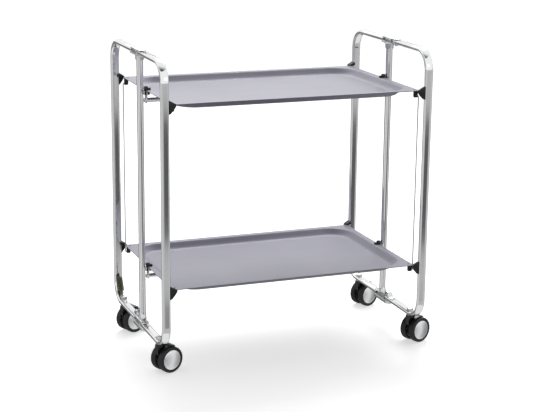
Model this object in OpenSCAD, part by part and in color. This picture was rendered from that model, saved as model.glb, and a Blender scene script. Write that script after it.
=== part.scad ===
// Folding serving cart: two trays that tilt together, four half frames that swing in, four twin-wheel casters.
// X runs along the trays, Y from front to rear and Z up. The origin is on the floor, in the middle of the box.

/* [Frame] */
// Distance between the planes of the two end frames
frame_span = 626; // [560:2:700]
// Distance between the front and rear legs, middle to middle
leg_span = 402; // [390:2:440]
// Height of the top of the frame above the floor
frame_h = 715; // [680:1:760]
// Height of the underside of the bottom bars
bar_clear_h = 70; // [70:1:80]
// Width of the flat-oval frame tube
tube_w = 20; // [18:1:22]
// Thickness of the flat-oval frame tube
tube_t = 10; // [9:0.5:11]
// Wall of the frame tube
tube_wall = 1.5; // [1:0.1:2]
// Radius of the upper bends, at the middle of the tube
top_bend_r = 45; // [35:1:60]
// Radius of the lower bends, at the middle of the tube
foot_bend_r = 46; // [44:1:47]
// Length of the plug in each open tube end
plug_len = 24; // [18:1:30]

/* [Posts and joints] */
// Diameter of the centre posts
post_d = 15; // [13:0.5:16]
// Wall of the centre posts
post_wall = 1.5; // [1:0.1:2]
// How far the posts stand in from the plane of the end frames
post_inset = 4; // [3:0.5:5]
// Distance between the front and rear fold pins
pin_span = 60; // [56:1:66]
// Diameter of the fold and tray pins
pin_d = 6; // [5:0.5:7]
// Radial clearance of every turning fit
turn_clear = 0.05; // [0.02:0.01:0.1]
// Thickness of the bracket leaves
leaf_t = 2; // [1.5:0.1:3]
// Clearance between a leaf and the bar beside it
leaf_gap = 0.3; // [0.2:0.05:0.6]
// Thickness of the plate under the bottom bars
foot_plate_t = 8; // [5:0.5:8]
// Length of the web between the leaves
web_len = 34; // [28:1:36]
// Height of the socket that holds a post's end
socket_h = 11; // [8:1:16]

/* [Trays] */
// Depth of the upper tray's rim below the top of the frame
upper_rim_drop = 94; // [75:1:115]
// Height of the lower tray's rim
lower_rim_z = 207; // [203:1:215]
// Gap from the plane of an end frame to the tray's end
tray_end_gap = 17; // [16:0.5:19]
// Gap from the middle of a leg to the tray's long edge
tray_side_gap = 6; // [6:0.5:12]
// Thickness of the tray's sheet
sheet_t = 1.5; // [1:0.1:2]
// Width of the flat rim
rim_w = 11; // [9:1:14]
// Depth of the well
well_depth = 15; // [12:0.5:15]
// Sideways run of the sloped wall of the well
wall_run = 26; // [18:1:34]
// Corner radius of the well at the rim
well_corner_r = 66; // [50:1:90]
// Corner radius of the rim
rim_corner_r = 8; // [5:1:14]
// Depth of the tilt axis below the rim
axis_drop = 5; // [4.5:0.1:5.5]

/* [Cross bars] */
// Diameter of the bar under each tray
cross_d = 10; // [8:0.5:11]
// Depth of the bar's middle below the rim
cross_drop = 23; // [22:0.5:25]
// Distance of the two saddles from the middle
saddle_x = 150; // [80:5:200]
// Thickness of the bar's end plates
end_plate_t = 2; // [1.5:0.1:3]

/* [Tray clips] */
// Radius of the pivot clip's hub
hub_r = 6.5; // [6:0.1:6.8]
// Height of the pivot clip above the rim
clip_rise = 9; // [6:0.5:11]
// Reach of the pivot clip's finger over the rim
finger_len = 12; // [8:0.5:16]
// Reach of a holder in from its leg
holder_reach = 17; // [14:0.5:18]
// Height of a holder above the rim
holder_up = 10; // [8:0.5:12]
// Depth of a holder below the rim
holder_down = 20; // [14:0.5:22]
// How far a rear holder's lip covers the edge of the rim
lip_cover = 3; // [2:0.5:4]
// How far a front holder's ledge reaches under the edge of the rim
ledge_cover = 1.2; // [0.8:0.2:3]

/* [Link rods] */
// Diameter of the link rods
rod_d = 2.5; // [2:0.1:3]
// Distance of a rod in from the tray's long edge
rod_inset = 12.5; // [11:0.5:20]
// Depth of a rod's pivot below the rim
rod_drop = 14; // [13.5:0.1:14.5]
// Gap between a rod and the tray's end
rod_gap = 0.75; // [0.5:0.05:1]
// Radial clearance of the rods in the clips of the lower tray
loose_clear = 0.3; // [0.15:0.05:0.5]

/* [Latch] */
// Width of the latch strip
strip_w = 6; // [5:0.5:7]
// Thickness of the latch strip
strip_t = 3; // [2:0.1:3]
// How far the strip runs past the middle of the end
strip_past = 43; // [41:1:50]
// Diameter of the cross pin at the strip's free end
cross_pin_d = 6; // [5:0.5:7]
// Outer diameter of the spring
spring_d = 13.5; // [11:0.5:15]
// Diameter of the spring's wire
spring_wire = 1.8; // [1.4:0.1:2]
// Number of full curls in the spring
spring_curls = 13; // [8:1:14]
// Climb of the spring in one curl
spring_pitch = 2.6; // [2.5:0.1:3]

/* [Casters] */
// Distance of the caster stems in from the middle of the legs
stem_inset = 53; // [53:1:66]
// Diameter of the wheels
wheel_d = 61; // [54:1:62]
// Width of each wheel
wheel_w = 15.5; // [13:0.5:16]
// Width over both wheels of a caster
caster_w = 43; // [40:0.5:44]
// Distance of the axle behind the stem
trail = 20; // [16:0.5:22]
// Turn of the casters at rest, from straight along the cart
caster_turn = 20; // [0:1:40]
// Diameter of the caster stems
stem_d = 8; // [6:0.5:10]
// Diameter of the wheel axles
axle_d = 6; // [5:0.5:7]
// Thickness of the hood's body between the wheels
hood_t = 10.5; // [8:0.5:11]
// Diameter of the domed hub caps
cap_d = 46; // [38:1:48]
// Height of the dome on the caps
dome_h = 3.5; // [2:0.5:5]

/* [Hidden] */
frame_x = frame_span / 2;
leg_y = leg_span / 2;
pin_y = pin_span / 2;
post_x = frame_x - post_inset;
post_face_x = post_x - post_d / 2;
arm = leg_y - pin_y;
low_bar_z = bar_clear_h + tube_t / 2;
high_bar_z = frame_h - tube_t / 2;
tray_x = frame_x - tray_end_gap;
tray_y = leg_y - tray_side_gap;
upper_rim_z = frame_h - upper_rim_drop;
rod_y = tray_y - rod_inset;
stem_y = leg_y - stem_inset;
stem_arm = stem_y - pin_y;
round_fn = 64;
small_fn = 32;
tiny = 0.01;
overrun = 1;

// Brackets at the ends of the posts
foot_leaf_z = bar_clear_h + tube_t + leaf_gap;
foot_plate_z = bar_clear_h - leaf_gap - foot_plate_t;
top_under_z = frame_h - tube_t - leaf_gap - leaf_t;
top_over_z = frame_h + leaf_gap;
post_foot_z = foot_leaf_z + leaf_t;
post_top_z = top_under_z;
socket_wall = 2;
foot_socket_wall = 1;
pin_head_r = 4.5;
pin_head_h = 1.6;
pin_tail = 3;
tray_pin_in = 1;
roll_r = 10.5;
roll_t = 1.8;
roll_w = 13;
roll_from_x = -4.5;
roll_step_y = 10.6;
roll_foot_l = 15;
hub_washer_r = 5;
hub_washer_gap = 0.3;
bore_r = pin_d / 2 + turn_clear;

// Pieces on the trays
axis_upper_z = upper_rim_z - axis_drop;
axis_lower_z = lower_rim_z - axis_drop;
clip_back = 3;
clip_hub_len = 12;
clip_top_len = 8;
clip_w = 10;
clip_cap_h = 3;
lap = 1;
finger_t = 4;
finger_w = 7;
plate_w = 19;
plate_foot_w = 14.6;
saddle_l = 24;
saddle_w = 14;
rod_x = tray_x + rod_gap + rod_d / 2;
rod_clip_gap = 0.8;
rod_clip_len = 9;
rod_clip_w = 9;
rod_clip_h = 16;
rod_end_in = 1;
rod_clip_out = 4.5;
button_r = 2.6;
button_h = 0.8;
button_in = 9;
rod_hook_len = rod_gap + rod_d / 2 + rod_clip_gap + rod_clip_len - rod_end_in;

// Holders on the legs
holder_grip = 5;
holder_t = 7;
holder_gap = 0.35;
ledge_gap = 0.5;
holder_in = 1;
holder_tip_t = 1.2;
holder_flat = 2;

// Latch strip, its cross pin and its spring
strip_out = 1;
strip_clear = 0.3;
strip_x = frame_x + tube_w / 2 + strip_out - strip_w / 2;
strip_z = foot_leaf_z + leaf_t + strip_clear;
strip_neck = 40;
cross_pin_past = 9;
strip_eye_r = 8;
collar_r = 5;
collar_h = 6.5;
eye_clear = 1.2;
tail_w = 8;
tail_rise = 6;
tail_start = 8.5;
tail_end = 16;
tail_bar = 1.8;
tail_slot = 5.2;
hook_r = 4;
hook_fillet = 2;
hook_drop = 1.2;
wire_sunk = 0.8;
spring_root_h = 61;
wire_root = [leg_y - tube_t / 2 + wire_sunk, low_bar_z + spring_root_h];
spring_top = wire_root - [wire_sunk + 2 * spring_wire, 0];
spring_foot = [stem_y + tail_end - tail_bar / 2, strip_z + strip_t / 2 + tail_rise - hook_drop];
spring_hole_r = 1.3;

// Casters
wheel_r = wheel_d / 2;
wheel_off = (caster_w - wheel_w) / 2;
tyre_edge_r = 3.5;
cap_r = cap_d / 2;
hub_inner_r = 9;
hood_neck_r = 9.5;
hood_disc_r = 22;
hood_top_z = bar_clear_h - 1.8;
hood_neck_z = 40;
fender_gap = 1.2;
fender_t = 2.4;
fender_w = caster_w - 10;
fender_from = 70;
fender_to = 122;
stem_foot_z = 46;
stem_collar_r = 8;
stem_collar_h = 1.5;
nut_af = 13;
nut_h = 5.5;
stem_past = 1;
hood_pad = 0.4;
hood_web_h = 20;
cap_step = 1.5;
hub_step = 1;
axle_end_in = 3;
axle_room = 0.5;

// The casters trail to one side, so the middle of the whole length lies off the middle of the trays
row_x = -trail * cos(caster_turn);

CORNERS = ["front_left", "front_right", "rear_left", "rear_right"];
CORNER_PIECES = ["half_frame", "end_plugs", "tray_holders", "caster_stem", "caster_hood", "caster_axle",
    "inner_wheel", "inner_tyre", "outer_wheel", "outer_tyre"];

function side_x(corner) = (corner == "front_left" || corner == "rear_left") ? -1 : 1;
function side_y(corner) = (corner == "front_left" || corner == "front_right") ? -1 : 1;

module flipped(x, y) {
    if (x && y) rotate([0, 0, 180]) children();
    else if (x) mirror([1, 0, 0]) children();
    else if (y) mirror([0, 1, 0]) children();
    else children();
}

// A corner's own frame: the fold pin is the origin, Y points to the leg and X points in to the trays
module at_fold_pin(sx, sy) translate([sx * frame_x, sy * pin_y, 0]) flipped(sx > 0, sy < 0) children();

// An end's own frame: the origin lies in the plane of the end frame and X points in to the trays
module at_end(sx) translate([sx * frame_x, 0, 0]) flipped(sx > 0, sx > 0) children();

module flat_oval(w, t) {
    square([w - t, t], center = true);
    for (s = [-1, 1]) translate([s * (w - t) / 2, 0]) circle(d = t, $fn = round_fn);
}

module bar_y(w, t, from_y, to_y, z)
    translate([0, from_y, z]) rotate([-90, 0, 0]) linear_extrude(to_y - from_y) flat_oval(w, t);

module corner_bend(w, t, r)
    rotate([0, 90, 0]) rotate_extrude(angle = 90, $fn = round_fn) translate([r, 0]) rotate(90) flat_oval(w, t);

// The bent tube of a half frame, from one open end round to the other
module bent_tube(w, t, end_y) {
    bar_y(w, t, end_y, arm - foot_bend_r, low_bar_z);
    translate([0, arm - foot_bend_r, low_bar_z + foot_bend_r]) corner_bend(w, t, foot_bend_r);
    translate([0, arm, low_bar_z + foot_bend_r])
        linear_extrude(high_bar_z - top_bend_r - low_bar_z - foot_bend_r) flat_oval(w, t);
    translate([0, arm - top_bend_r, high_bar_z - top_bend_r]) mirror([0, 0, 1]) corner_bend(w, t, top_bend_r);
    bar_y(w, t, end_y, arm - top_bend_r, high_bar_z);
}

// What rounds a bar's end about its pin
module end_round(z) {
    difference() {
        translate([-tube_w, -tube_w, z - tube_t]) cube([2 * tube_w, tube_w, 2 * tube_t]);
        translate([0, 0, z - tube_t - overrun])
            cylinder(r = tube_w / 2, h = 2 * (tube_t + overrun), $fn = round_fn);
    }
}

// A rolled tab on the bar reaches over the head of the fold pin, clear of the bracket's leaf
module rolled_tab() translate([roll_from_x, 0, 0]) {
    bar_top = bar_clear_h + tube_t;
    roll_z = foot_leaf_z + leaf_t + leaf_gap;
    translate([0, roll_step_y, bar_top]) cube([roll_w, roll_foot_l, roll_t]);
    translate([0, roll_step_y, bar_top]) cube([roll_w, roll_t, roll_z - bar_top]);
    translate([0, roll_step_y + roll_t - roll_r, roll_z]) rotate([0, 90, 0]) difference() {
        cylinder(r = roll_r, h = roll_w, $fn = round_fn);
        translate([0, 0, -overrun]) cylinder(r = roll_r - roll_t, h = roll_w + 2 * overrun, $fn = round_fn);
        translate([0, -2 * roll_r, -overrun]) cube([2 * roll_r, 4 * roll_r, roll_w + 2 * overrun]);
    }
}

module half_frame(sx, sy) color("lightgray") at_fold_pin(sx, sy) {
    bored_tube(sx < 0 && sy > 0);
    if (sx * sy < 0) rolled_tab();
}

module bored_tube(sprung) difference() {
    bent_tube(tube_w, tube_t, -tube_w / 2);
    bent_tube(tube_w - 2 * tube_wall, tube_t - 2 * tube_wall, -tube_w / 2 - overrun);
    for (z = [low_bar_z, high_bar_z]) {
        end_round(z);
        translate([0, 0, z - tube_t]) cylinder(r = bore_r, h = 2 * tube_t, $fn = round_fn);
    }
    translate([0, stem_arm, low_bar_z - tube_t]) cylinder(d = stem_d, h = 2 * tube_t, $fn = round_fn);
    if (sprung) translate([0, wire_root[0] - pin_y, wire_root[1]]) rotate([90, 0, 0])
        cylinder(r = spring_hole_r, h = tube_t / 2, center = true, $fn = small_fn);
}

// Plugs that close the tube's ends and carry the pins
module end_plugs(sx, sy) color([0.09, 0.09, 0.1]) at_fold_pin(sx, sy)
    for (z = [low_bar_z, high_bar_z]) difference() {
        bar_y(tube_w - 2 * tube_wall, tube_t - 2 * tube_wall, -tube_w / 2, plug_len - tube_w / 2, z);
        end_round(z);
        translate([0, 0, z - tube_t]) cylinder(r = bore_r, h = 2 * tube_t, $fn = round_fn);
    }

// A holder: a band round the leg with a wedge beside the tray's corner and a lip over or under its rim
module holder(rim_z, lip_above) {
    out_y = arm + tube_t / 2 - holder_in;
    lip_y = tray_y - pin_y - (lip_above ? lip_cover : ledge_cover);
    tip_x = tube_w / 2 + holder_reach;
    root_x = tube_w / 2 - holder_grip;
    tip_up = holder_gap + holder_tip_t;
    flat_x = tube_w / 2 + holder_flat;
    difference() {
        union() {
            translate([0, out_y, rim_z]) rotate([90, 0, 0]) linear_extrude(holder_t)
                polygon([[root_x, holder_up], [flat_x, holder_up], [tip_x, tip_up],
                    [tip_x, -sheet_t - tip_up], [flat_x, -holder_down], [root_x, -holder_down]]);
            translate([0, out_y, rim_z]) rotate([90, 0, 0]) linear_extrude(out_y - lip_y)
                if (lip_above)
                    polygon([[root_x, holder_gap], [tip_x, holder_gap], [tip_x, tip_up],
                        [flat_x, holder_up], [root_x, holder_up]]);
                else
                    polygon([[root_x, -sheet_t - ledge_gap], [tip_x, -sheet_t - ledge_gap],
                        [tip_x, -sheet_t - tip_up], [flat_x, -holder_down], [root_x, -holder_down]]);
        }
        translate([0, arm, rim_z - 2 * holder_down]) linear_extrude(4 * holder_down) flat_oval(tube_w, tube_t);
    }
}

module tray_holders(sx, sy) color([0.07, 0.07, 0.08]) at_fold_pin(sx, sy)
    for (z = [upper_rim_z, lower_rim_z]) holder(z, sy > 0);

// Posts and brackets
module post(sx) color("lightgray") translate([sx * post_x, 0, post_foot_z]) difference() {
    cylinder(d = post_d, h = post_top_z - post_foot_z, $fn = round_fn);
    translate([0, 0, -overrun])
        cylinder(d = post_d - 2 * post_wall, h = post_top_z - post_foot_z + 2 * overrun, $fn = round_fn);
    for (z = [axis_upper_z, axis_lower_z]) translate([0, 0, z - post_foot_z]) rotate([0, -sx * 90, 0])
        cylinder(d = pin_d, h = post_d, $fn = round_fn);
}

module leaf(z, t) translate([0, 0, z]) {
    linear_extrude(t) square([tube_w, pin_span], center = true);
    for (s = [-1, 1]) translate([0, s * pin_y, 0]) cylinder(d = tube_w, h = t, $fn = round_fn);
}

module pin_holes(z, h)
    for (s = [-1, 1]) translate([0, s * pin_y, z]) cylinder(d = pin_d, h = h, $fn = round_fn);

module socket(z, wall) translate([post_inset, 0, z]) difference() {
    cylinder(d = post_d + 2 * wall, h = socket_h, $fn = round_fn);
    translate([0, 0, -overrun]) cylinder(d = post_d, h = socket_h + 2 * overrun, $fn = round_fn);
}

module web(z, h) translate([0, 0, z]) linear_extrude(h) square([tube_w, web_len], center = true);

module top_bracket(sx) color("silver") at_end(sx) {
    difference() {
        union() {
            leaf(top_under_z, leaf_t);
            leaf(top_over_z, leaf_t);
            web(top_under_z + leaf_t, top_over_z - top_under_z - leaf_t);
        }
        pin_holes(top_under_z - overrun, tube_t + 4 * leaf_t);
    }
    socket(top_under_z - socket_h, socket_wall);
}

module foot_bracket(sx) color("silver") at_end(sx) {
    difference() {
        union() {
            leaf(foot_leaf_z, leaf_t);
            leaf(foot_plate_z, foot_plate_t);
            web(foot_plate_z + foot_plate_t, foot_leaf_z - foot_plate_z - foot_plate_t);
        }
        pin_holes(foot_plate_z - overrun, foot_plate_t + tube_t + 4 * leaf_t);
    }
    socket(post_foot_z, foot_socket_wall);
}

module fold_pin(z_from, z_to) translate([0, 0, z_from]) {
    cylinder(d = pin_d, h = z_to - z_from, $fn = round_fn);
    translate([0, 0, z_to - z_from]) cylinder(r = pin_head_r, h = pin_head_h, $fn = round_fn);
}

module tray_pin(z) translate([post_inset, 0, z]) rotate([0, 90, 0]) {
    cylinder(d = pin_d, h = post_x - tray_x + clip_hub_len - clip_back - tray_pin_in, $fn = round_fn);
    translate([0, 0, post_d / 2])
        cylinder(r = hub_washer_r, h = post_face_x - tray_x - clip_back - hub_washer_gap, $fn = round_fn);
}

module pivot_pins() color("gainsboro") for (sx = [-1, 1]) at_end(sx) {
    for (s = [-1, 1]) translate([0, s * pin_y, 0]) {
        fold_pin(foot_plate_z, foot_leaf_z + leaf_t);
        fold_pin(top_under_z - pin_tail, top_over_z + leaf_t);
    }
    for (z = [axis_upper_z, axis_lower_z]) intersection() {
        tray_pin(z);
        translate([post_inset + post_d / 2 - post_wall, -tube_w, z - tube_w])
            cube([frame_x, 2 * tube_w, 2 * tube_w]);
    }
}

// Trays, in a frame whose origin is the middle of the rim
module rounded_plate(hx, hy, r, t) linear_extrude(t) {
    square([2 * (hx - r), 2 * hy], center = true);
    square([2 * hx, 2 * (hy - r)], center = true);
    for (x = [-1, 1], y = [-1, 1]) translate([x * (hx - r), y * (hy - r)]) circle(r = r, $fn = round_fn);
}

module well(grow, top_z, floor_z) {
    hx = tray_x - rim_w + grow;
    hy = tray_y - rim_w + grow;
    hull() {
        for (x = [-1, 1], y = [-1, 1]) {
            translate([x * (hx - well_corner_r), y * (hy - well_corner_r), top_z - tiny])
                cylinder(r = well_corner_r, h = tiny, $fn = round_fn);
            translate([x * (hx - well_corner_r), y * (hy - well_corner_r), floor_z])
                cylinder(r = well_corner_r - wall_run, h = tiny, $fn = round_fn);
        }
    }
}

module tray(rim_z) color([0.62, 0.61, 0.68]) translate([0, 0, rim_z]) difference() {
    union() {
        translate([0, 0, -sheet_t]) rounded_plate(tray_x, tray_y, rim_corner_r, sheet_t);
        well(sheet_t, -sheet_t / 2, -well_depth - sheet_t);
    }
    well(0, tiny, -well_depth);
    translate([0, 0, overrun]) well(0, tiny, -well_depth);
}

module cross_bar(rim_z) color("lightgray") translate([0, 0, rim_z]) {
    translate([0, 0, -cross_drop]) rotate([0, 90, 0])
        cylinder(d = cross_d, h = 2 * (tray_x - end_plate_t), center = true, $fn = round_fn);
    for (s = [-1, 1]) {
        translate([s * saddle_x - saddle_l / 2, -saddle_w / 2, -cross_drop])
            cube([saddle_l, saddle_w, cross_drop - well_depth - sheet_t]);
        translate([s * (tray_x - end_plate_t / 2), 0, 0]) rotate([0, 90, 0]) difference() {
            union() {
                translate([sheet_t, -plate_w / 2, -end_plate_t / 2])
                    cube([cross_drop - sheet_t, plate_w, end_plate_t]);
                translate([cross_drop, 0, 0])
                    cylinder(d = plate_foot_w, h = end_plate_t, center = true, $fn = round_fn);
            }
            translate([axis_drop, 0, 0])
                cylinder(r = hub_r, h = 2 * end_plate_t, center = true, $fn = round_fn);
        }
    }
}

// A pivot clip: a hub round the tray pin that grips the rim from both sides
module pivot_clip() translate([tray_x - frame_x, 0, 0]) {
    back_x = -clip_back;
    difference() {
        union() {
            translate([back_x, 0, -axis_drop]) rotate([0, 90, 0])
                cylinder(r = hub_r, h = clip_hub_len, $fn = round_fn);
            translate([back_x, -clip_w / 2, -axis_drop])
                cube([clip_top_len, clip_w, axis_drop + clip_rise - clip_cap_h]);
            translate([back_x, 0, clip_rise - clip_cap_h]) rotate([0, 90, 0]) intersection() {
                cylinder(d = clip_w, h = clip_top_len, $fn = round_fn);
                translate([-clip_cap_h, -clip_w, 0]) cube([2 * clip_cap_h, 2 * clip_w, clip_top_len]);
            }
            translate([back_x + clip_top_len - lap, -finger_w / 2, 0])
                cube([finger_len + lap - clip_top_len + clip_back - finger_w / 2, finger_w, finger_t]);
            translate([finger_len - finger_w / 2, 0, 0]) cylinder(d = finger_w, h = finger_t, $fn = round_fn);
        }
        translate([0, -clip_w, -sheet_t]) cube([2 * clip_hub_len, 2 * clip_w, sheet_t]);
        translate([back_x - overrun, 0, -axis_drop]) rotate([0, 90, 0])
            cylinder(r = bore_r, h = clip_hub_len + 2 * overrun, $fn = round_fn);
    }
}

module pivot_clips(rim_z) color([0.07, 0.07, 0.08]) for (sx = [-1, 1]) translate([0, 0, rim_z])
    at_end(sx) translate([2 * tray_end_gap, 0, 0]) pivot_clip();

// A rod clip hangs under the rim at each corner, with a button head on the rim
module rod_clip(clear) {
    in_x = tray_x - rod_clip_gap;
    difference() {
        translate([in_x - rod_clip_len, rod_y + rod_clip_out - rod_clip_w, -sheet_t - rod_clip_h])
            cube([rod_clip_len, rod_clip_w, rod_clip_h]);
        translate([in_x - rod_clip_len - overrun, rod_y, -rod_drop]) rotate([0, 90, 0])
            cylinder(r = rod_d / 2 + clear, h = rod_clip_len + 2 * overrun, $fn = small_fn);
    }
    translate([tray_x - button_in, rod_y, 0]) cylinder(r = button_r, h = button_h, $fn = small_fn);
}

module rod_clips(rim_z, clear) color([0.07, 0.07, 0.08]) translate([0, 0, rim_z])
    for (x = [false, true], y = [false, true]) flipped(x, y) rod_clip(clear);

// A link rod with its two ends turned in to the clips
module link_rod(sx, sy) {
    top_z = upper_rim_z - rod_drop;
    foot_z = lower_rim_z - rod_drop;
    color("silver") translate([sx * rod_x, sy * rod_y, foot_z]) {
        cylinder(d = rod_d, h = top_z - foot_z, $fn = small_fn);
        for (z = [0, top_z - foot_z]) translate([0, 0, z]) {
            sphere(d = rod_d, $fn = small_fn);
            rotate([0, -sx * 90, 0]) cylinder(d = rod_d, h = rod_hook_len, $fn = small_fn);
        }
    }
}

// The latch strip lies on the left foot, turns on the rear stem and has a raised tail for the spring
module latch_strip() color("silver") translate([-frame_x, stem_y, strip_z]) {
    in_x = frame_x - strip_x;
    difference() {
        union() {
            cylinder(r = strip_eye_r, h = strip_t, $fn = round_fn);
            linear_extrude(strip_t) polygon([[in_x - strip_w / 2, -stem_y - strip_past],
                [in_x + strip_w / 2, -stem_y - strip_past], [in_x + strip_w / 2, -strip_neck],
                [strip_eye_r * 0.8, -strip_eye_r * 0.6], [-strip_eye_r * 0.8, -strip_eye_r * 0.6],
                [in_x - strip_w / 2, -strip_neck]]);
            translate([-tail_w / 2, 0, 0]) rotate([90, 0, 90]) linear_extrude(tail_w)
                polygon([[0, 0], [tail_start, 0], [tail_end, tail_rise], [tail_end, tail_rise + strip_t],
                    [tail_start - lap, strip_t], [0, strip_t]]);
        }
        translate([0, 0, -overrun])
            cylinder(r = collar_r + eye_clear, h = strip_t + 2 * overrun, $fn = round_fn);
        translate([-tail_w / 4, tail_end - tail_bar - tail_slot, -overrun])
            cube([tail_w / 2, tail_slot, 3 * tail_rise]);
    }
    translate([in_x - strip_w / 2, -stem_y - strip_past, strip_t / 2]) rotate([0, 90, 0])
        cylinder(d = cross_pin_d, h = strip_w + cross_pin_past, $fn = round_fn);
}

// The spring is one tube: a straight end, the curls, a straight link and a hook round the strip's tail
spring_span = norm(spring_top - spring_foot);
spring_dir = (spring_foot - spring_top) / spring_span;
spring_side = [-spring_dir[1], spring_dir[0]];
curl_r = (spring_d - spring_wire) / 2;
curl_rings = 8;
ease_curls = 0.5;
coil_from = 8;
coil_turns = spring_curls + 2 * ease_curls;
function spring_point(along, radius, turn) = let (flat = radius * sin(turn)) [
    radius * cos(turn),
    spring_top[0] + spring_dir[0] * along + spring_side[0] * flat,
    spring_top[1] + spring_dir[1] * along + spring_side[1] * flat];
function curl_radius(t) = curl_r * min(1, t / ease_curls, (coil_turns - t) / ease_curls);
// The hook bends off the spring's line into an open ring about the tail's end bar
hook_rings = 14;
hook_turn = 300;
fillet_rings = 3;
fillet_up = sqrt(hook_r * hook_r + 2 * hook_r * hook_fillet);
hook_from = atan2(fillet_up, hook_fillet);
function at_hook(side, up) = let (p = spring_foot + spring_side * side - spring_dir * up) [0, p[0], p[1]];
function at_wire(p) = [0, p[0], p[1]];
spring_path = concat(
    [at_wire(wire_root), at_wire(wire_root - [wire_sunk + spring_wire, 0]),
        at_wire(spring_top + spring_dir * spring_wire)],
    [for (i = [0 : coil_turns * curl_rings])
        let (t = i / curl_rings) spring_point(coil_from + t * spring_pitch, curl_radius(t), t * 360)],
    [for (i = [0 : fillet_rings]) let (a = 180 + hook_from * i / fillet_rings)
        at_hook(hook_fillet * (1 + cos(a)), fillet_up + hook_fillet * sin(a))],
    [for (i = [1 : hook_rings]) let (a = hook_from - hook_turn * i / hook_rings)
        at_hook(hook_r * cos(a), hook_r * sin(a))]);
spring_turns = concat([0, 0, 0], [for (i = [0 : coil_turns * curl_rings]) 360 * i / curl_rings],
    [for (i = [0 : fillet_rings + hook_rings]) 0]);
spring_rings = len(spring_path);
spring_sides = 6;
function unit(v) = v / norm(v);
function tangent(i) = unit(spring_path[min(i + 1, spring_rings - 1)] - spring_path[max(i - 1, 0)]);
function outward(i) = [cos(spring_turns[i]), spring_side[0] * sin(spring_turns[i]),
    spring_side[1] * sin(spring_turns[i])];
function ring(i) = let (t = tangent(i), n = unit(outward(i) - t * (outward(i) * t)), b = cross(t, n))
    [for (k = [0 : spring_sides - 1]) let (turn = 360 * k / spring_sides)
        spring_path[i] + (n * cos(turn) + b * sin(turn)) * spring_wire / 2];
coil_points = [for (i = [3 : 3 + coil_turns * curl_rings]) spring_path[i]];
spring_gap = min([for (i = [0 : len(coil_points) - 1])
    for (j = [i + curl_rings / 2 : len(coil_points) - 1]) if (j < len(coil_points))
        norm(coil_points[i] - coil_points[j])]) - spring_wire;

module latch_spring() color([0.3, 0.3, 0.22]) translate([-frame_x, 0, 0]) {
    last = spring_rings - 1;
    polyhedron(
        points = [for (i = [0 : last]) each ring(i)],
        faces = concat(
            [for (k = [1 : spring_sides - 2]) [0, k, k + 1]],
            [for (i = [0 : last - 1]) for (k = [0 : spring_sides - 1]) let (n = (k + 1) % spring_sides)
                each [[i * spring_sides + k, (i + 1) * spring_sides + k, i * spring_sides + n],
                      [i * spring_sides + n, (i + 1) * spring_sides + k, (i + 1) * spring_sides + n]]],
            [for (k = [1 : spring_sides - 2])
                [last * spring_sides, last * spring_sides + k + 1, last * spring_sides + k]]));
    echo(spring_least_gap = spring_gap);
}

// Casters
module at_stem(sx, sy) translate([sx * frame_x, sy * stem_y, 0]) children();

module hex_nut(z) translate([0, 0, z]) difference() {
    cylinder(d = nut_af / cos(30), h = nut_h, $fn = 6);
    translate([0, 0, -overrun]) cylinder(d = stem_d, h = nut_h + 2 * overrun, $fn = round_fn);
}

module caster_stem(sx, sy) color("silver") at_stem(sx, sy) {
    latched = sx < 0 && sy > 0;
    bar_top = bar_clear_h + tube_t;
    nut_z = latched ? bar_top + collar_h : bar_top;
    stem_h = nut_z + nut_h + stem_past - stem_foot_z;
    translate([0, 0, stem_foot_z]) cylinder(d = stem_d, h = stem_h, $fn = round_fn);
    translate([0, 0, bar_clear_h - stem_collar_h])
        cylinder(r = stem_collar_r, h = stem_collar_h, $fn = round_fn);
    if (latched) translate([0, 0, bar_top]) cylinder(r = collar_r, h = collar_h, $fn = round_fn);
    hex_nut(nut_z);
}

module at_caster(sx, sy) at_stem(sx, sy) rotate([0, 0, caster_turn]) children();

module at_axle(sx, sy) at_caster(sx, sy) translate([trail, 0, wheel_r]) rotate([90, 0, 0]) children();

module fender_outline(r_in, r_out) difference() {
    circle(r = r_out, $fn = round_fn);
    circle(r = r_in, $fn = round_fn);
    polygon([[0, 0], [3 * r_out * cos(fender_to), 3 * r_out * sin(fender_to)], [-3 * r_out, -3 * r_out],
        [3 * r_out, -3 * r_out], [3 * r_out * cos(fender_from), 3 * r_out * sin(fender_from)]]);
}

module caster_hood(sx, sy) color([0.06, 0.06, 0.07]) {
    fender_in = wheel_r + fender_gap;
    fender_out = fender_in + fender_t;
    difference() {
        union() {
            at_axle(sx, sy) {
                linear_extrude(hood_t, center = true) {
                    circle(r = hood_disc_r, $fn = round_fn);
                    fender_outline(hood_disc_r - lap, fender_out);
                }
                linear_extrude(fender_w, center = true) fender_outline(fender_in, fender_out);
            }
            at_caster(sx, sy) {
                translate([0, 0, hood_neck_z])
                    cylinder(r = hood_t / 2 + hood_pad, h = hood_top_z - hood_neck_z, $fn = round_fn);
                translate([-hood_neck_r, -hood_t / 2, hood_neck_z])
                    cube([hood_neck_r + trail / 2, hood_t, hood_web_h]);
                translate([0, 0, wheel_d + fender_gap])
                    cylinder(r = hood_neck_r, h = hood_top_z - wheel_d - fender_gap, $fn = round_fn);
            }
        }
        at_caster(sx, sy) translate([0, 0, stem_foot_z - overrun])
            cylinder(r = stem_d / 2 + turn_clear, h = hood_top_z, $fn = round_fn);
        at_axle(sx, sy) cylinder(d = axle_d, h = caster_w, center = true, $fn = round_fn);
    }
}

module caster_axle(sx, sy) color("silver") at_axle(sx, sy)
    cylinder(d = axle_d, h = caster_w - 2 * axle_end_in, center = true, $fn = round_fn);

// A wheel's frame: the origin is the middle of the wheel and Z points out of the caster
module at_wheel(sx, sy, out)
    at_axle(sx, sy) rotate([0, out * sy > 0 ? 180 : 0, 0]) translate([0, 0, wheel_off]) children();

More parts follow.
